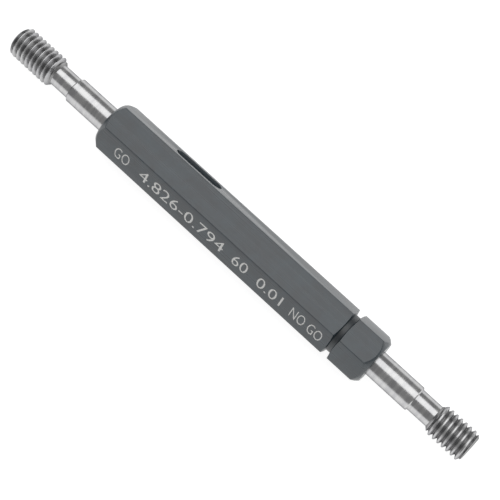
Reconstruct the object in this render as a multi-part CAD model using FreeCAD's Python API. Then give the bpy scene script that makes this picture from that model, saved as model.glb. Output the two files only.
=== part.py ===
import FreeCAD, Part
import math
import os
from FreeCAD import Vector

# Double-ended limit thread plug gauge for a 10-32 tapped hole: a hexagonal handle with a GO member and
# a NO-GO member, each held by a self-holding taper. It lies on one flat of the handle.
# Millimetres. X runs from the GO end to the NO-GO end, Z is up, and the origin is on the gauge's axis,
# halfway along its whole length.

# Threads: right hand, 60 degree form
thread_pitch = 25.4 / 32
flank_angle = 30.0
go_major_diameter = 4.826
go_pitch_diameter = 4.310
go_thread_length = 10 * thread_pitch
no_go_major_diameter = 4.753
no_go_pitch_diameter = 4.409
no_go_thread_length = 8 * thread_pitch
tip_chamfer_length = 0.45
tip_undercut = 0.03

# Neck and plain shank between the thread and the handle's face
neck_relief = 0.12
go_neck_length = 3.2
no_go_neck_length = 3.4
shank_diameter = 4.0
shank_length = 7.3
shank_chamfer = 0.15

# 60 degree centre in each end face, left from grinding
centre_diameter = 1.2
centre_angle = 30.0

# Self-holding taper inside the handle, its large end flush with the handle's face, and the plain tail
# behind it that a drift pushes on. The sockets are reamed into a hole drilled right through.
taper_length = 6.2
taper_rate = 1 / 24
taper_end_clearance = 0.8
tail_length = 4.8
tail_clearance = 0.1

# Handle: drawn hexagon bar, turned on both ends
across_flats = 7.144
handle_length = 50.0
bar_edge_radius = 0.12
end_land = 0.27
end_chamfer_length = 0.95

# Ring groove that marks the NO-GO end
groove_width = 0.95
groove_depth = 0.42
groove_from_end = 5.8

# Drift slot, through two opposite flats, with the end of the GO member's tail just inside it
slot_length = 8.3
slot_width = 2.6
slot_overlap = 1.1
slot_flat_angle = 60.0

flat_radius = across_flats / 2
corner_radius = flat_radius / math.cos(math.pi / 6)
shank_radius = shank_diameter / 2
go_reach = shank_length + go_neck_length + go_thread_length
no_go_reach = shank_length + no_go_neck_length + no_go_thread_length
go_face_x = (go_reach - handle_length - no_go_reach) / 2
no_go_face_x = go_face_x + handle_length
x_axis = Vector(1, 0, 0)


def turned(points):
    """Solid of revolution about the X axis from a closed outline of (x, radius) points."""
    corners = [Vector(x, radius, 0) for x, radius in points]
    outline = Part.makePolygon(corners + corners[:1])
    return Part.Face(outline).revolve(Vector(0, 0, 0), x_axis, 360)


def taper_radius(depth):
    """Radius of the taper at a depth inside the handle's face."""
    return shank_radius - depth * taper_rate / 2


def bore_radius():
    """Radius of the drilled hole, where the reamed sockets run out into it."""
    return taper_radius(taper_length + taper_end_clearance)


def thread_root_radius(pitch_diameter):
    """Radius at the sharp bottom of the thread, half a pitch wide at the pitch diameter."""
    return pitch_diameter / 2 - thread_pitch / 4 / math.tan(math.radians(flank_angle))


def helix(radius, start):
    """One right-hand turn of the thread's helix about the Z axis."""
    return Part.makeHelix(thread_pitch, thread_pitch, radius).translated(Vector(0, 0, start)).Edges[0]


def threaded_rod(root_radius, major_radius, start, length):
    """A rod with the full thread along +X, running two turns past both ends of the given length.

    Each turn is two flanks and a crest. Each end is closed by a ramp from the axis to the root and by the
    step between its first and last point.
    """
    flank = (major_radius - root_radius) * math.tan(math.radians(flank_angle))
    turn = [
        Part.makeRuledSurface(helix(root_radius, 0), helix(major_radius, flank)),
        Part.makeRuledSurface(helix(major_radius, flank), helix(major_radius, thread_pitch - flank)),
        Part.makeRuledSurface(helix(major_radius, thread_pitch - flank), helix(root_radius, thread_pitch)),
    ]
    spare_turns = 2
    turns = math.ceil(length / thread_pitch) + 2 * spare_turns
    faces = []
    for count in range(turns):
        for face in turn:
            faces.append(face.translated(Vector(0, 0, count * thread_pitch)))
    for end in (0, turns * thread_pitch):
        next_end = end + thread_pitch
        step = [
            Vector(0, 0, end),
            Vector(root_radius, 0, end),
            Vector(major_radius, 0, end + flank),
            Vector(major_radius, 0, next_end - flank),
            Vector(root_radius, 0, next_end),
            Vector(0, 0, next_end),
        ]
        faces.append(Part.makeRuledSurface(Part.makeLine(step[0], step[-1]), helix(root_radius, end)))
        faces.append(Part.Face(Part.makePolygon(step + step[:1])))
    shell = Part.makeShell(faces)
    shell.sewShape()
    rod = Part.makeSolid(shell)
    if rod.Volume < 0:
        rod.reverse()
    rod.rotate(Vector(0, 0, 0), Vector(0, 1, 0), 90)
    rod.translate(x_axis * (start - spare_turns * thread_pitch))
    return rod


def gauging_member(major_diameter, pitch_diameter, thread_length, neck_length):
    """One member pointing along +X, with the handle's face at x = 0."""
    major_radius = major_diameter / 2
    root_radius = thread_root_radius(pitch_diameter)
    neck_radius = root_radius - neck_relief
    tip_radius = root_radius - tip_undercut
    tail_radius = bore_radius() - tail_clearance
    centre_radius = centre_diameter / 2
    neck_end = shank_length + neck_length
    tip = neck_end + thread_length
    clear_radius = major_radius + thread_pitch
    tip_slope = tip_chamfer_length / (major_radius - tip_radius)
    shank = turned([
        (-taper_length - tail_length, 0),
        (-taper_length - tail_length, tail_radius),
        (-taper_length, tail_radius),
        (-taper_length, taper_radius(taper_length)),
        (0, shank_radius),
        (shank_length - shank_chamfer, shank_radius),
        (shank_length, shank_radius - shank_chamfer),
        (shank_length, neck_radius),
        (neck_end, neck_radius),
        (neck_end, 0),
    ])
    thread_envelope = turned([
        (neck_end, 0),
        (neck_end, neck_radius),
        (neck_end + clear_radius - neck_radius, clear_radius),
        (tip - (clear_radius - tip_radius) * tip_slope, clear_radius),
        (tip, tip_radius),
        (tip, centre_radius),
        (tip - centre_radius / math.tan(math.radians(centre_angle)), 0),
    ])
    rod = threaded_rod(root_radius, major_radius, neck_end, thread_length)
    return shank.fuse(rod.common(thread_envelope)).Solids[0]


def go_member():
    member = gauging_member(go_major_diameter, go_pitch_diameter, go_thread_length, go_neck_length)
    member.rotate(Vector(0, 0, 0), Vector(0, 0, 1), 180)
    member.translate(x_axis * go_face_x)
    return member


def no_go_member():
    member = gauging_member(
        no_go_major_diameter, no_go_pitch_diameter, no_go_thread_length, no_go_neck_length
    )
    member.translate(x_axis * no_go_face_x)
    return member


def hexagon_bar():
    """The bar between the two end faces, a flat at the top and bottom, its long edges slightly round."""
    corners = []
    for step in range(7):
        angle = math.radians(60 * step)
        corners.append(Vector(go_face_x, corner_radius * math.cos(angle), corner_radius * math.sin(angle)))
    bar = Part.Face(Part.makePolygon(corners)).extrude(x_axis * handle_length)
    long_edges = [edge for edge in bar.Edges if abs(edge.tangentAt(edge.FirstParameter).x) > 0.99]
    return bar.makeFillet(bar_edge_radius, long_edges)


def turned_envelope():
    """What the lathe leaves of the bar: both ends chamfered down to a round land."""
    land_radius = flat_radius - end_land
    return turned([
        (go_face_x, 0),
        (go_face_x, land_radius),
        (go_face_x + end_chamfer_length, corner_radius),
        (no_go_face_x - end_chamfer_length, corner_radius),
        (no_go_face_x, land_radius),
        (no_go_face_x, 0),
    ])


def marker_groove():
    """Square ring groove near the NO-GO end, as a parting tool leaves it."""
    middle = no_go_face_x - groove_from_end
    bottom = flat_radius - groove_depth
    half_width = groove_width / 2
    outside = corner_radius + groove_width
    return turned([
        (middle - half_width, outside),
        (middle - half_width, bottom),
        (middle + half_width, bottom),
        (middle + half_width, outside),
    ])


def taper_bore():
    """The two taper sockets and the drilled hole that joins them, as one turned cutter."""
    socket_length = taper_length + taper_end_clearance
    return turned([
        (go_face_x, 0),
        (go_face_x, shank_radius),
        (go_face_x + socket_length, bore_radius()),
        (no_go_face_x - socket_length, bore_radius()),
        (no_go_face_x, shank_radius),
        (no_go_face_x, 0),
    ])


def drift_slot():
    """Round-ended slot through the bar, square to the flat that is turned down towards +Y."""
    start = go_face_x + taper_length + tail_length - slot_overlap
    end_radius = slot_width / 2
    height = 2 * corner_radius
    straight = slot_length - slot_width
    slot = Part.makeBox(straight, slot_width, height, Vector(start + end_radius, -end_radius, -corner_radius))
    for x in (start + end_radius, start + slot_length - end_radius):
        slot = slot.fuse(Part.makeCylinder(end_radius, height, Vector(x, 0, -corner_radius)))
    slot = slot.removeSplitter()
    slot.rotate(Vector(0, 0, 0), x_axis, -slot_flat_angle)
    return slot


def handle():
    body = hexagon_bar().common(turned_envelope())
    for cutter in (marker_groove(), taper_bore(), drift_slot()):
        body = body.cut(cutter)
    return body.Solids[0]


os.makedirs("parts", exist_ok=True)
for name, make in (("handle", handle), ("go_member", go_member), ("no_go_member", no_go_member)):
    solid = make()
    solid.exportStep(f"parts/{name}.step")
    box = solid.optimalBoundingBox()
    print(f"{name}: valid {solid.isValid()}, {len(solid.Faces)} faces, {solid.Volume:.2f} mm3,")
    print(f"    x {box.XMin:.3f} to {box.XMax:.3f}, y {box.YMin:.3f} to {box.YMax:.3f}, "
          f"z {box.ZMin:.3f} to {box.ZMax:.3f}")
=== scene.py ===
import math
import bpy
import bmesh
from mathutils import Matrix, Vector


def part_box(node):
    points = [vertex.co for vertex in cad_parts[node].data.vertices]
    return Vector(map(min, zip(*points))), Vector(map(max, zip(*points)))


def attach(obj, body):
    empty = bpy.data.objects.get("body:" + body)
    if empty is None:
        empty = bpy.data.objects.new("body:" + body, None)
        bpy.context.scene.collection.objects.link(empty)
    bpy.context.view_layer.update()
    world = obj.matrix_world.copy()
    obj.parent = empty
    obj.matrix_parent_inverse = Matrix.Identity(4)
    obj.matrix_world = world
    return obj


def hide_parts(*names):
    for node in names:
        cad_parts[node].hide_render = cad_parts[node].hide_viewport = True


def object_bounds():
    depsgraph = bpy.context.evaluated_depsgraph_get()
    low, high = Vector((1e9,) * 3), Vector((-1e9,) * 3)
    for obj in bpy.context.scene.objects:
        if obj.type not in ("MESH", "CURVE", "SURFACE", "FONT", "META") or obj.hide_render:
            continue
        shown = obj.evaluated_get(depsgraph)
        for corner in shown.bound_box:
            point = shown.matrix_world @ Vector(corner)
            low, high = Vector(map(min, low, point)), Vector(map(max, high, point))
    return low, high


# Double-ended thread plug gauge: a black hexagonal handle with a ground GO member and NO-GO member.
# Lengths in the dictionaries are in millimetres, the scene is in metres.

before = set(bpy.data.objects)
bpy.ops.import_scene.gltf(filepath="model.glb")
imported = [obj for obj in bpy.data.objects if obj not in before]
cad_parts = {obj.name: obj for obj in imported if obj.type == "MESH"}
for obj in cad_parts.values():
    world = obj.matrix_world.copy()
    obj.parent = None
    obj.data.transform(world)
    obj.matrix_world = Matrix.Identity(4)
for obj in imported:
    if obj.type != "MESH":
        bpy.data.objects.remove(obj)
cadLow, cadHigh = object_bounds()
print("frame loaded with", ", ".join(sorted(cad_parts)))

mm = 0.001
alongAxis = Vector((1, 0, 0))
handleLow, handleHigh = (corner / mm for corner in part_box("handle"))
goLow, goHigh = (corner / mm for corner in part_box("go_member"))
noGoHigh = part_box("no_go_member")[1] / mm


# mesh helpers

def turned(outline, steps, closed=False):  # (x, radius) points turned about the X axis
    bm = bmesh.new()
    verts = [bm.verts.new((x * mm, 0, -radius * mm)) for x, radius in outline]
    pairs = list(zip(verts, verts[1:])) + ([(verts[-1], verts[0])] if closed else [])
    edges = [bm.edges.new(pair) for pair in pairs]
    bmesh.ops.spin(bm, geom=verts + edges, cent=(0, 0, 0), axis=alongAxis, dvec=(0, 0, 0),
                   angle=2 * math.pi, steps=steps, use_merge=True, use_duplicate=False)
    bmesh.ops.remove_doubles(bm, verts=bm.verts, dist=1e-7)
    bmesh.ops.recalc_face_normals(bm, faces=bm.faces)
    return bm


def asObject(bm, name):
    mesh = bpy.data.meshes.new(name)
    bm.to_mesh(mesh)
    bm.free()
    piece = bpy.data.objects.new(name, mesh)
    bpy.context.scene.collection.objects.link(piece)
    return piece


def keepModifiers(piece):  # the modifiers' result becomes the piece's own mesh
    shape = bpy.data.meshes.new_from_object(piece.evaluated_get(bpy.context.evaluated_depsgraph_get()))
    piece.modifiers.clear()
    piece.data = shape
    shape.name = piece.name


def combine(piece, tool, operation):
    step = piece.modifiers.new(operation, "BOOLEAN")
    step.operation = operation
    step.solver = "EXACT"
    step.object = tool
    keepModifiers(piece)
    bpy.data.objects.remove(tool)


def roundSharpEdges(piece, width, angle, segments=2):
    bm = bmesh.new()
    bm.from_mesh(piece.data)
    bmesh.ops.dissolve_degenerate(bm, edges=bm.edges, dist=0.001 * mm)
    sharp = [edge for edge in bm.edges if edge.is_manifold and edge.calc_face_angle() > math.radians(angle)]
    bmesh.ops.bevel(bm, geom=sharp, offset=width * mm, offset_type="OFFSET", segments=segments,
                    profile=0.5, affect="EDGES", clamp_overlap=False, material=-1)
    bm.to_mesh(piece.data)
    bm.free()


def dropLooseParts(piece):
    bm = bmesh.new()
    bm.from_mesh(piece.data)
    bmesh.ops.holes_fill(bm, edges=[edge for edge in bm.edges if edge.is_boundary], sides=0)
    bmesh.ops.dissolve_degenerate(bm, edges=bm.edges, dist=0.0005 * mm)
    bmesh.ops.delete(bm, geom=[vert for vert in bm.verts if not vert.link_faces], context="VERTS")
    bm.to_mesh(piece.data)
    bm.free()


def smoothShading(piece, angle):
    piece.data.shade_smooth()
    piece.data.set_sharp_from_angle(angle=math.radians(angle))


def finishPiece(piece, material, *nodes, slot=None):
    piece.data.materials.clear()
    piece.data.materials.append(material)
    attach(piece, "root")
    if nodes:
        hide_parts(*nodes)


# node helpers

def addNode(tree, kind, values=None, **settings):
    node = tree.nodes.new(kind)
    for key, value in settings.items():
        setattr(node, key, value)
    for socket, value in (values or {}).items():
        node.inputs[socket].default_value = value
    return node


def effectGroup(name, inputs, outputs):
    tree = bpy.data.node_groups.new(name, "ShaderNodeTree")
    for label, value in inputs.items():
        tree.interface.new_socket(label, in_out="INPUT", socket_type="NodeSocketFloat").default_value = value
    for label in outputs:
        tree.interface.new_socket(label, in_out="OUTPUT", socket_type="NodeSocketFloat")
    return tree, tree.nodes.new("NodeGroupInput"), tree.nodes.new("NodeGroupOutput")


def placeGroup(tree, group, **values):
    node = tree.nodes.new("ShaderNodeGroup")
    node.node_tree = group
    for label, value in values.items():
        node.inputs[label].default_value = value
    return node


def toolLines():  # fine lines left by a tool: one size along the axis, another across it
    tree, given, out = effectGroup("tool lines", {"along": 1.0, "across": 1.0}, ["height", "patches"])
    place = addNode(tree, "ShaderNodeTexCoord")
    size = addNode(tree, "ShaderNodeCombineXYZ")
    tree.links.new(given.outputs["along"], size.inputs["X"])
    tree.links.new(given.outputs["across"], size.inputs["Y"])
    tree.links.new(given.outputs["across"], size.inputs["Z"])
    scaled = addNode(tree, "ShaderNodeVectorMath", operation="MULTIPLY")
    tree.links.new(place.outputs["Object"], scaled.inputs[0])
    tree.links.new(size.outputs[0], scaled.inputs[1])
    lines = addNode(tree, "ShaderNodeTexNoise", {"Scale": 1.0, "Detail": 3.0, "Roughness": 0.6})
    tree.links.new(scaled.outputs[0], lines.inputs["Vector"])
    tree.links.new(lines.outputs["Fac"], out.inputs["height"])
    wide = addNode(tree, "ShaderNodeVectorMath", {1: (0.12, 0.35, 0.35)}, operation="MULTIPLY")
    tree.links.new(scaled.outputs[0], wide.inputs[0])
    patches = addNode(tree, "ShaderNodeTexNoise", {"Scale": 1.0, "Detail": 2.0})
    tree.links.new(wide.outputs[0], patches.inputs["Vector"])
    tree.links.new(patches.outputs["Fac"], out.inputs["patches"])
    return tree


def mottling():  # soft cloudy patches at two sizes
    tree, given, out = effectGroup("mottling", {"size": 1000.0, "sharpness": 0.5}, ["patches"])
    place = addNode(tree, "ShaderNodeTexCoord")
    clouds = addNode(tree, "ShaderNodeTexNoise", {"Detail": 4.0, "Distortion": 0.4})
    tree.links.new(place.outputs["Object"], clouds.inputs["Vector"])
    tree.links.new(given.outputs["size"], clouds.inputs["Scale"])
    tree.links.new(given.outputs["sharpness"], clouds.inputs["Roughness"])
    spread = addNode(tree, "ShaderNodeMapRange", {"From Min": 0.3, "From Max": 0.7})
    tree.links.new(clouds.outputs["Fac"], spread.inputs["Value"])
    tree.links.new(spread.outputs[0], out.inputs["patches"])
    return tree


toolLinesGroup = toolLines()
mottlingGroup = mottling()


def blendColours(tree, factor, first, second):  # a colour is three numbers or another node's output
    mix = addNode(tree, "ShaderNodeMix", data_type="RGBA")
    tree.links.new(factor, mix.inputs[0])
    for socket, colour in ((mix.inputs[6], first), (mix.inputs[7], second)):  # its colours A and B
        if isinstance(colour, tuple):
            socket.default_value = (*colour, 1)
        else:
            tree.links.new(colour, socket)
    return mix.outputs[2]


def rescale(tree, value, low, high, fromLow=0.0, fromHigh=1.0):
    step = addNode(tree, "ShaderNodeMapRange",
                   {"From Min": fromLow, "From Max": fromHigh, "To Min": low, "To Max": high})
    tree.links.new(value, step.inputs["Value"])
    return step.outputs[0]


def bump(tree, height, strength, distance):
    step = addNode(tree, "ShaderNodeBump", {"Strength": strength, "Distance": distance})
    tree.links.new(height, step.inputs["Height"])
    return step.outputs[0]


def axisPlace(tree):  # the place along the gauge's axis, and the distance from it
    place = addNode(tree, "ShaderNodeTexCoord")
    acrossOnly = addNode(tree, "ShaderNodeVectorMath", {1: (0, 1, 1)}, operation="MULTIPLY")
    radius = addNode(tree, "ShaderNodeVectorMath", operation="LENGTH")
    apart = addNode(tree, "ShaderNodeSeparateXYZ")
    tree.links.new(place.outputs["Object"], acrossOnly.inputs[0])
    tree.links.new(acrossOnly.outputs[0], radius.inputs[0])
    tree.links.new(place.outputs["Object"], apart.inputs[0])
    return apart.outputs["X"], radius.outputs["Value"]


def calculate(tree, operation, *values):  # a value is a number or another node's output
    step = addNode(tree, "ShaderNodeMath", operation=operation)
    for socket, value in zip(step.inputs, values):
        if isinstance(value, (int, float)):
            socket.default_value = value
        else:
            tree.links.new(value, socket)
    return step.outputs[0]


def newMaterial(name):
    material = bpy.data.materials.new(name)
    material.use_nodes = True
    tree = material.node_tree
    return material, tree, tree.nodes["Principled BSDF"]


# the third, near-black colour is painted shade for the walls within the slot, the bore and the ring groove
blackOxide = dict(dark=(0.028, 0.035, 0.042), pale=(0.036, 0.055, 0.068), inside=(0.004, 0.004, 0.005),
                  roughness=(0.24, 0.36), indexOfRefraction=1.75, insideRadius=(2.85, 3.40), endMargin=1.2,
                  cloudSize=450.0, cloudSharpness=0.6, linesAlong=300.0, linesAcross=9000.0,
                  patchRange=(0.3, 0.7), bumpStrength=0.12, bumpDepth=0.02)


def blackOxideMaterial():  # painted shade: the walls within the slot, the bore and the ring groove lie in the dark, so their colour is painted near-black and their roughness raised to full
    material, tree, shader = newMaterial("black oxide")
    shader.inputs["IOR"].default_value = blackOxide["indexOfRefraction"]
    clouds = placeGroup(tree, mottlingGroup, size=blackOxide["cloudSize"],
                        sharpness=blackOxide["cloudSharpness"])
    drawn = placeGroup(tree, toolLinesGroup, along=blackOxide["linesAlong"],
                       across=blackOxide["linesAcross"])
    along, radius = axisPlace(tree)
    # painted shade mask: near the axis and away from both ends of the handle
    afterStart = calculate(tree, "GREATER_THAN", along, (handleLow.x + blackOxide["endMargin"]) * mm)
    beforeEnd = calculate(tree, "LESS_THAN", along, (handleHigh.x - blackOxide["endMargin"]) * mm)
    between = calculate(tree, "MULTIPLY", afterStart, beforeEnd)
    deep, shallow = (limit * mm for limit in blackOxide["insideRadius"])
    inside = calculate(tree, "MULTIPLY", rescale(tree, radius, 1.0, 0.0, deep, shallow), between)
    surface = blendColours(tree, clouds.outputs[0], blackOxide["dark"], blackOxide["pale"])
    tree.links.new(blendColours(tree, inside, surface, blackOxide["inside"]), shader.inputs["Base Color"])
    worn = rescale(tree, drawn.outputs["patches"], *blackOxide["roughness"], *blackOxide["patchRange"])
    tree.links.new(calculate(tree, "MAXIMUM", worn, inside), shader.inputs["Roughness"])
    tree.links.new(bump(tree, drawn.outputs["height"], blackOxide["bumpStrength"],
                        blackOxide["bumpDepth"] * mm), shader.inputs["Normal"])
    return material


# the third, darker colour is painted shade between the threads
groundSteel = dict(colour=(0.60, 0.60, 0.60), dull=(0.50, 0.50, 0.51), groove=(0.31, 0.31, 0.31),
                   grazing=(0.35, 0.35, 0.36), roughness=(0.16, 0.27), threadRoughness=0.13,
                   linesAlong=16000.0, linesAcross=700.0, colourRange=(0.35, 0.65), roughnessRange=(0.3, 0.7),
                   crestMargin=0.08, bumpStrength=0.15, bumpDepth=0.004)


def groundSteelMaterial(name, threadStart, grooveRadius, crestRadius):  # painted shade: darker between the threads, deepest at the thread roots
    material, tree, shader = newMaterial(name)
    shader.inputs["Metallic"].default_value = 1.0
    shader.inputs["Specular Tint"].default_value = (*groundSteel["grazing"], 1)
    ground = placeGroup(tree, toolLinesGroup, along=groundSteel["linesAlong"],
                        across=groundSteel["linesAcross"])
    along, radius = axisPlace(tree)
    onThread = calculate(tree, "GREATER_THAN", calculate(tree, "ABSOLUTE", along), threadStart * mm)
    clean = crestRadius - groundSteel["crestMargin"]
    # painted shade mask: full at the root radius, fading out below the crests, on the threads only
    depth = rescale(tree, radius, 1.0, 0.0, grooveRadius * mm, clean * mm)
    shade = rescale(tree, ground.outputs["patches"], 0.0, 1.0, *groundSteel["colourRange"])
    plain = blendColours(tree, shade, groundSteel["dull"], groundSteel["colour"])
    grooveShadeMask = calculate(tree, "MULTIPLY", depth, onThread)
    tree.links.new(blendColours(tree, grooveShadeMask, plain, groundSteel["groove"]), shader.inputs["Base Color"])
    worn = rescale(tree, ground.outputs["patches"], *groundSteel["roughness"], *groundSteel["roughnessRange"])
    tree.links.new(calculate(tree, "MULTIPLY_ADD", onThread, groundSteel["threadRoughness"], worn),
                   shader.inputs["Roughness"])
    tree.links.new(bump(tree, ground.outputs["height"], groundSteel["bumpStrength"],
                        groundSteel["bumpDepth"] * mm), shader.inputs["Normal"])
    return material


# handle

handle = dict(edgeRound=0.12, endLand=0.27, endChamfer=0.95, softEdge=0.045,
              grooveWidth=0.95, grooveDepth=0.42, grooveFromEnd=5.8, grooveSlope=0.12,
              slotStart=9.9, slotLength=8.3, slotWidth=2.6, slotTurn=60.0,
              mouthRadius=2.0, boreRadius=1.8542, socketLength=7.0,
              latheSteps=240, drillSteps=96, slotSteps=64, sharpAngle=25, shadingAngle=31)


marks = dict(colour=(0.90, 0.90, 0.88), roughness=0.6, height=1.9, recess=0.08, sunk=0.03, bedding=0.01,
             words=(("GO", -20.6, -17.9), ("4.826-0.794", -15.8, 0.1), ("60", 1.9, 4.6),
                    ("0.01", 6.5, 11.0), ("NO GO", 12.7, 18.3)))


def wordMesh(word):
    letters = bpy.data.curves.new(word, "FONT")
    letters.body = word
    letters.resolution_u = 3
    carrier = bpy.data.objects.new(word, letters)
    bpy.context.scene.collection.objects.link(carrier)
    shape = bpy.data.meshes.new_from_object(carrier.evaluated_get(bpy.context.evaluated_depsgraph_get()))
    bpy.data.objects.remove(carrier)
    return shape


def engraving(name, flatRadius, low, high):  # the marks as solid letters between two heights on their face
    bm = bmesh.new()
    for word, left, right in marks["words"]:
        known = set(bm.verts)
        bm.from_mesh(wordMesh(word))
        added = [vert for vert in bm.verts if vert not in known]
        columns, rows = [vert.co.x for vert in added], [vert.co.y for vert in added]
        across = (right - left) / (max(columns) - min(columns)) * mm
        upward = marks["height"] / (max(rows) - min(rows)) * mm
        middleRow = (max(rows) + min(rows)) / 2
        for vert in added:
            vert.co = Vector((left * mm + (vert.co.x - min(columns)) * across,
                              (vert.co.y - middleRow) * upward, low * mm))
    bmesh.ops.remove_doubles(bm, verts=bm.verts, dist=1e-7)
    bmesh.ops.dissolve_degenerate(bm, edges=bm.edges, dist=1e-6)
    raised = bmesh.ops.extrude_face_region(bm, geom=bm.faces, use_keep_orig=True)["geom"]
    bmesh.ops.translate(bm, verts=[part for part in raised if isinstance(part, bmesh.types.BMVert)],
                        vec=(0, 0, (high - low) * mm))
    bmesh.ops.recalc_face_normals(bm, faces=bm.faces)
    outward = Vector((0, -math.sin(math.pi / 3), math.cos(math.pi / 3)))
    upright = outward.cross(alongAxis)
    face = Matrix((alongAxis, upright, outward)).transposed().to_4x4()
    bmesh.ops.transform(bm, matrix=Matrix.Translation(outward * flatRadius * mm) @ face, verts=bm.verts)
    return asObject(bm, name)


def markPaint():
    material, tree, shader = newMaterial("mark filling")
    shader.inputs["Base Color"].default_value = (*marks["colour"], 1)
    shader.inputs["Roughness"].default_value = marks["roughness"]
    return material


def makeHandle():
    startX, endX, flatRadius = handleLow.x, handleHigh.x, handleHigh.z
    cornerRadius = flatRadius / math.cos(math.pi / 6)
    middleX, length = (startX + endX) / 2, endX - startX
    bm = bmesh.new()
    lie = Matrix.Translation((middleX * mm, 0, 0)) @ Matrix.Rotation(math.pi / 2, 4, "Y")
    bmesh.ops.create_cone(bm, cap_ends=True, segments=6, radius1=cornerRadius * mm,
                          radius2=cornerRadius * mm, depth=length * mm, matrix=lie)
    longEdges = [edge for edge in bm.edges if edge.calc_length() > 0.9 * length * mm]
    bmesh.ops.bevel(bm, geom=longEdges, offset=handle["edgeRound"] * math.tan(math.pi / 6) * mm,
                    offset_type="OFFSET", segments=4, profile=0.5, affect="EDGES", material=-1)
    bmesh.ops.recalc_face_normals(bm, faces=bm.faces)
    piece = asObject(bm, "handle_body")

    land = flatRadius - handle["endLand"]
    lathe = turned([(startX - 1, 0), (startX - 1, 1), (startX, 1), (startX, land),
                    (startX + handle["endChamfer"], cornerRadius),
                    (endX - handle["endChamfer"], cornerRadius), (endX, land), (endX, 1), (endX + 1, 1),
                    (endX + 1, 0)], handle["latheSteps"])
    combine(piece, asObject(lathe, "lathe"), "INTERSECT")

    middle = endX - handle["grooveFromEnd"]
    half, bottom = handle["grooveWidth"] / 2, flatRadius - handle["grooveDepth"]
    narrow, wide = half - handle["grooveSlope"], half + handle["grooveSlope"] * 3
    ring = turned([(middle - wide, cornerRadius + 1), (middle - narrow, bottom), (middle + narrow, bottom),
                   (middle + wide, cornerRadius + 1)], handle["latheSteps"], closed=True)
    combine(piece, asObject(ring, "ring"), "DIFFERENCE")

    mouth, bore, socket = handle["mouthRadius"], handle["boreRadius"], handle["socketLength"]
    slope = (mouth - bore) / socket
    drill = turned([(startX - 1, 0), (startX - 1, mouth + slope), (startX + socket, bore),
                    (endX - socket, bore), (endX + 1, mouth + slope), (endX + 1, 0)],
                   handle["drillSteps"])
    combine(piece, asObject(drill, "drill"), "DIFFERENCE")

    endRadius = handle["slotWidth"] / 2
    bm = bmesh.new()
    upright = Matrix.Rotation(math.radians(-handle["slotTurn"]), 4, "X")
    bmesh.ops.create_cone(bm, cap_ends=True, segments=handle["slotSteps"], radius1=endRadius * mm,
                          radius2=endRadius * mm, depth=3 * cornerRadius * mm)
    ahead = [vert for vert in bm.verts if vert.co.x > 1e-7]
    bmesh.ops.translate(bm, verts=ahead, vec=((handle["slotLength"] - handle["slotWidth"]) * mm, 0, 0))
    bmesh.ops.translate(bm, verts=bm.verts, vec=((startX + handle["slotStart"] + endRadius) * mm, 0, 0))
    bmesh.ops.transform(bm, matrix=upright, verts=bm.verts)
    combine(piece, asObject(bm, "slot"), "DIFFERENCE")

    roundSharpEdges(piece, handle["softEdge"], handle["sharpAngle"])
    cutter = engraving("marks cutter", flatRadius, -marks["recess"], marks["recess"])
    combine(piece, cutter, "DIFFERENCE")
    dropLooseParts(piece)
    smoothShading(piece, handle["shadingAngle"])
    return piece


# gauging members

member = dict(steps=96, pitch=25.4 / 32, flankAngle=30.0, rootRound=0.05, crestRound=0.018,
              shankRadius=2.0, shankLength=7.3, shankChamfer=0.15, neckRelief=0.12,
              taperLength=6.2, taperRate=1 / 24, tailLength=4.8, tailRadius=1.7542,
              tipChamfer=0.45, tipUndercut=0.03, centreRadius=0.6, centreAngle=30.0,
              turnedSteps=144, overlap=0.3, overlapStep=0.2, shadingAngle=32)
goMember = dict(pitchDiameter=4.310, neckLength=3.2, grooveRadius=1.82)
noGoMember = dict(pitchDiameter=4.409, neckLength=3.4, grooveRadius=1.87)


def threadOutline(root, crest):  # one pitch of the thread from groove bottom to groove bottom
    pitch, tilt = member["pitch"], math.radians(member["flankAngle"])
    flank = (crest - root) * math.tan(tilt)
    rootCentre = root + member["rootRound"] / math.sin(tilt)
    crestCentre = crest - member["crestRound"]
    crestInset = flank + member["crestRound"] * math.tan((math.pi / 2 - tilt) / 2)
    half = []
    for turn in (0, 20, 40, 60):
        angle = math.radians(turn)
        half.append((member["rootRound"] * math.sin(angle),
                     rootCentre - member["rootRound"] * math.cos(angle)))
    for turn in (60, 40, 20, 0):
        angle = math.radians(turn)
        half.append((crestInset - member["crestRound"] * math.sin(angle),
                     crestCentre + member["crestRound"] * math.cos(angle)))
    return half + [(pitch - x, radius) for x, radius in reversed(half)]


def threadedRod(root, crest, start, length):  # a screwed rod, two turns too long at both ends
    pitch, spare = member["pitch"], 2
    turns = math.ceil(length / pitch) + 2 * spare
    bm = bmesh.new()
    left = start - spare * pitch
    verts = [bm.verts.new(((left + x) * mm, 0, -radius * mm)) for x, radius in threadOutline(root, crest)]
    edges = [bm.edges.new(pair) for pair in zip(verts, verts[1:])]
    bmesh.ops.spin(bm, geom=verts + edges, cent=(0, 0, 0), axis=alongAxis,
                   dvec=(pitch * mm / member["steps"], 0, 0), angle=2 * math.pi * turns,
                   steps=member["steps"] * turns, use_merge=False, use_duplicate=False)
    bmesh.ops.remove_doubles(bm, verts=bm.verts, dist=1e-7)
    rims = [edge for edge in bm.edges if edge.is_boundary]
    for atStart, tipX in ((True, left), (False, left + (turns + 1) * pitch)):
        middle = (left + (turns + 1) * pitch / 2) * mm
        rim = [edge for edge in rims if (edge.verts[0].co.x < middle) == atStart]
        grown = bmesh.ops.extrude_edge_only(bm, edges=rim)["geom"]
        bmesh.ops.pointmerge(bm, verts=[part for part in grown if isinstance(part, bmesh.types.BMVert)],
                             merge_co=(tipX * mm, 0, 0))
    bmesh.ops.recalc_face_normals(bm, faces=bm.faces)
    return bm


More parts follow.
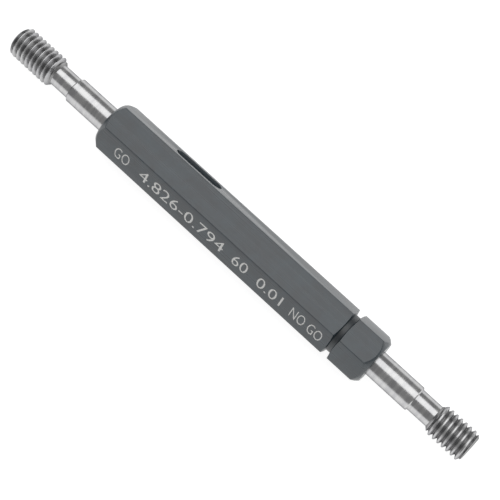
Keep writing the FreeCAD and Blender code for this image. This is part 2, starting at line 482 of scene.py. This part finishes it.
def makeMember(name, sizes, crest, threadLength, faceX, heading):
    root = sizes["pitchDiameter"] / 2 - member["pitch"] / 4 / math.tan(math.radians(member["flankAngle"]))
    neck, tip = root - member["neckRelief"], root - member["tipUndercut"]
    neckEnd = member["shankLength"] + sizes["neckLength"]
    tipX = neckEnd + threadLength
    clear = crest + member["pitch"]
    slope = member["tipChamfer"] / (crest - tip)
    taperEnd = member["shankRadius"] - member["taperLength"] * member["taperRate"] / 2
    centre = member["centreRadius"]
    piece = asObject(threadedRod(root, crest, neckEnd, threadLength), name)
    inward = neckEnd - member["overlap"]
    envelope = turned([(inward, 0), (inward, neck - member["overlapStep"]), (neckEnd, neck),
                       (neckEnd + clear - neck, clear), (tipX - (clear - tip) * slope, clear), (tipX, tip),
                       (tipX, centre), (tipX - centre / math.tan(math.radians(member["centreAngle"])), 0)],
                      member["turnedSteps"])
    combine(piece, asObject(envelope, "envelope"), "INTERSECT")
    shank = turned([(-member["taperLength"] - member["tailLength"], 0),
                    (-member["taperLength"] - member["tailLength"], member["tailRadius"]),
                    (-member["taperLength"], member["tailRadius"]), (-member["taperLength"], taperEnd),
                    (0, member["shankRadius"]), (member["shankLength"] - member["shankChamfer"],
                                                 member["shankRadius"]),
                    (member["shankLength"], member["shankRadius"] - member["shankChamfer"]),
                    (member["shankLength"], neck), (neckEnd, neck), (neckEnd, 0)],
                   member["turnedSteps"])
    combine(piece, asObject(shank, "shank"), "UNION")
    smoothShading(piece, member["shadingAngle"])
    turn = Matrix.Rotation(0 if heading > 0 else math.pi, 4, "Z")
    piece.data.transform(Matrix.Translation((faceX * mm, 0, 0)) @ turn)
    return piece


handlePiece = makeHandle()
finishPiece(handlePiece, blackOxideMaterial(), "handle", slot="handle")
markPiece = engraving("size_marks", handleHigh.z, -marks["recess"] - marks["bedding"],
                      -marks["sunk"])
finishPiece(markPiece, markPaint())
print("handle made,", len(handlePiece.data.polygons), "faces, marks", len(markPiece.data.polygons))

goLength = handleLow.x - goLow.x - member["shankLength"] - goMember["neckLength"]
goPiece = makeMember("go_gauge", goMember, goHigh.z, goLength, handleLow.x, -1)
noGoLength = noGoHigh.x - handleHigh.x - member["shankLength"] - noGoMember["neckLength"]
noGoPiece = makeMember("no_go_gauge", noGoMember, noGoHigh.z, noGoLength, handleHigh.x, 1)
goThreadStart = -handleLow.x + member["shankLength"] + goMember["neckLength"]
noGoThreadStart = handleHigh.x + member["shankLength"] + noGoMember["neckLength"]
goSteel = groundSteelMaterial("ground steel, go", goThreadStart, goMember["grooveRadius"], goHigh.z)
finishPiece(goPiece, goSteel, "go_member", slot="members")
noGoSteel = groundSteelMaterial("ground steel, no go", noGoThreadStart, noGoMember["grooveRadius"],
                                noGoHigh.z)
finishPiece(noGoPiece, noGoSteel, "no_go_member", slot="members")
print("members made,", len(goPiece.data.polygons), "and", len(noGoPiece.data.polygons), "faces")


# floor, light and camera

studio = dict(floorSize=6.0, floorColour=(0.85, 0.85, 0.85), seenColour=(0.35, 0.35, 0.35), seenGlow=0.90,
              ceiling=0.28, horizon=1.0, horizonTop=0.06, ceilingStart=0.22,
              keyHeight=0.45, keyMiddle=0.133, keyWidth=0.45, keyLength=0.9,
              keyPower=1.55)


def rayIsSeen(tree):  # camera rays, and what metal and glass show
    rays = addNode(tree, "ShaderNodeLightPath").outputs
    seenOrMirrored = calculate(tree, "MAXIMUM", rays["Is Camera Ray"], rays["Is Glossy Ray"])
    return calculate(tree, "MAXIMUM", seenOrMirrored, rays["Is Transmission Ray"])


def makeFloor():
    bm = bmesh.new()
    bmesh.ops.create_grid(bm, x_segments=1, y_segments=1, size=studio["floorSize"] / 2)
    bmesh.ops.translate(bm, verts=bm.verts, vec=(0, 0, cadLow.z))
    floor = asObject(bm, "floor")
    material = bpy.data.materials.new("pale floor")
    material.use_nodes = True
    tree = material.node_tree
    tree.nodes.clear()
    plain = addNode(tree, "ShaderNodeBsdfDiffuse", {"Color": (*studio["floorColour"], 1)})
    seen = addNode(tree, "ShaderNodeBsdfDiffuse", {"Color": (*studio["seenColour"], 1)})
    glow = addNode(tree, "ShaderNodeEmission", {"Strength": studio["seenGlow"]})
    both = addNode(tree, "ShaderNodeAddShader")
    choose = addNode(tree, "ShaderNodeMixShader")
    below = addNode(tree, "ShaderNodeMixShader")
    facing = addNode(tree, "ShaderNodeNewGeometry")
    through = addNode(tree, "ShaderNodeBsdfTransparent")
    out = addNode(tree, "ShaderNodeOutputMaterial")
    tree.links.new(seen.outputs[0], both.inputs[0])
    tree.links.new(glow.outputs[0], both.inputs[1])
    tree.links.new(rayIsSeen(tree), choose.inputs[0])
    tree.links.new(plain.outputs[0], choose.inputs[1])
    tree.links.new(both.outputs[0], choose.inputs[2])
    tree.links.new(facing.outputs["Backfacing"], below.inputs[0])
    tree.links.new(choose.outputs[0], below.inputs[1])
    tree.links.new(through.outputs[0], below.inputs[2])
    tree.links.new(below.outputs[0], out.inputs["Surface"])
    floor.data.materials.append(material)


def makeWorld():
    world = bpy.data.worlds.new("studio")
    world.use_nodes = True
    tree = world.node_tree
    shader = tree.nodes["Background"]
    shader.inputs["Color"].default_value = (1, 1, 1, 1)
    place = addNode(tree, "ShaderNodeTexCoord")
    apart = addNode(tree, "ShaderNodeSeparateXYZ")
    tree.links.new(place.outputs["Generated"], apart.inputs[0])
    dome = addNode(tree, "ShaderNodeMapRange", {"From Min": studio["horizonTop"],
                                                "From Max": studio["ceilingStart"],
                                                "To Min": studio["horizon"], "To Max": studio["ceiling"]},
                   interpolation_type="SMOOTHSTEP")
    tree.links.new(apart.outputs["Z"], dome.inputs["Value"])
    rays = addNode(tree, "ShaderNodeLightPath")
    seen = addNode(tree, "ShaderNodeMix", {3: 1.0})
    tree.links.new(rays.outputs["Is Camera Ray"], seen.inputs[0])
    tree.links.new(dome.outputs[0], seen.inputs[2])
    tree.links.new(seen.outputs[0], shader.inputs["Strength"])
    bpy.context.scene.world = world


def makeKeyLight():
    lamp = bpy.data.lights.new("softbox", "AREA")
    lamp.shape = "RECTANGLE"
    lamp.size, lamp.size_y = studio["keyLength"], studio["keyWidth"]
    lamp.energy = studio["keyPower"]
    light = bpy.data.objects.new("softbox", lamp)
    light.location = (0, studio["keyMiddle"], studio["keyHeight"])
    light.visible_camera = False
    bpy.context.scene.collection.objects.link(light)


view = dict(nearest=0.01, farthest=20, direction=(0.18314, -0.27448, 1.0), distance=0.207, lens=107.55,
            sensor=36.0, slant=42.317, turnRight=0.008546, turnUp=-0.008482)


def makeCamera():
    lens = bpy.data.cameras.new("camera")
    lens.lens, lens.sensor_width = view["lens"], view["sensor"]
    lens.clip_start, lens.clip_end = view["nearest"], view["farthest"]
    camera = bpy.data.objects.new("camera", lens)
    outward = Vector(view["direction"]).normalized()
    level = (alongAxis - outward * outward.x).normalized()  # the gauge's axis as the camera sees it
    slant = math.radians(view["slant"])
    right = level * math.cos(slant) + outward.cross(level) * math.sin(slant)
    back = (outward - right * view["turnRight"] - outward.cross(right) * view["turnUp"]).normalized()
    right = (right - back * right.dot(back)).normalized()
    turn = Matrix((right, back.cross(right), back)).transposed().to_4x4()
    camera.matrix_world = Matrix.Translation(outward * view["distance"]) @ turn
    bpy.context.scene.collection.objects.link(camera)
    bpy.context.scene.camera = camera


makeFloor()
makeWorld()
makeKeyLight()
makeCamera()
bpy.context.scene.view_settings.view_transform = "Standard"
print("floor, light and camera made")
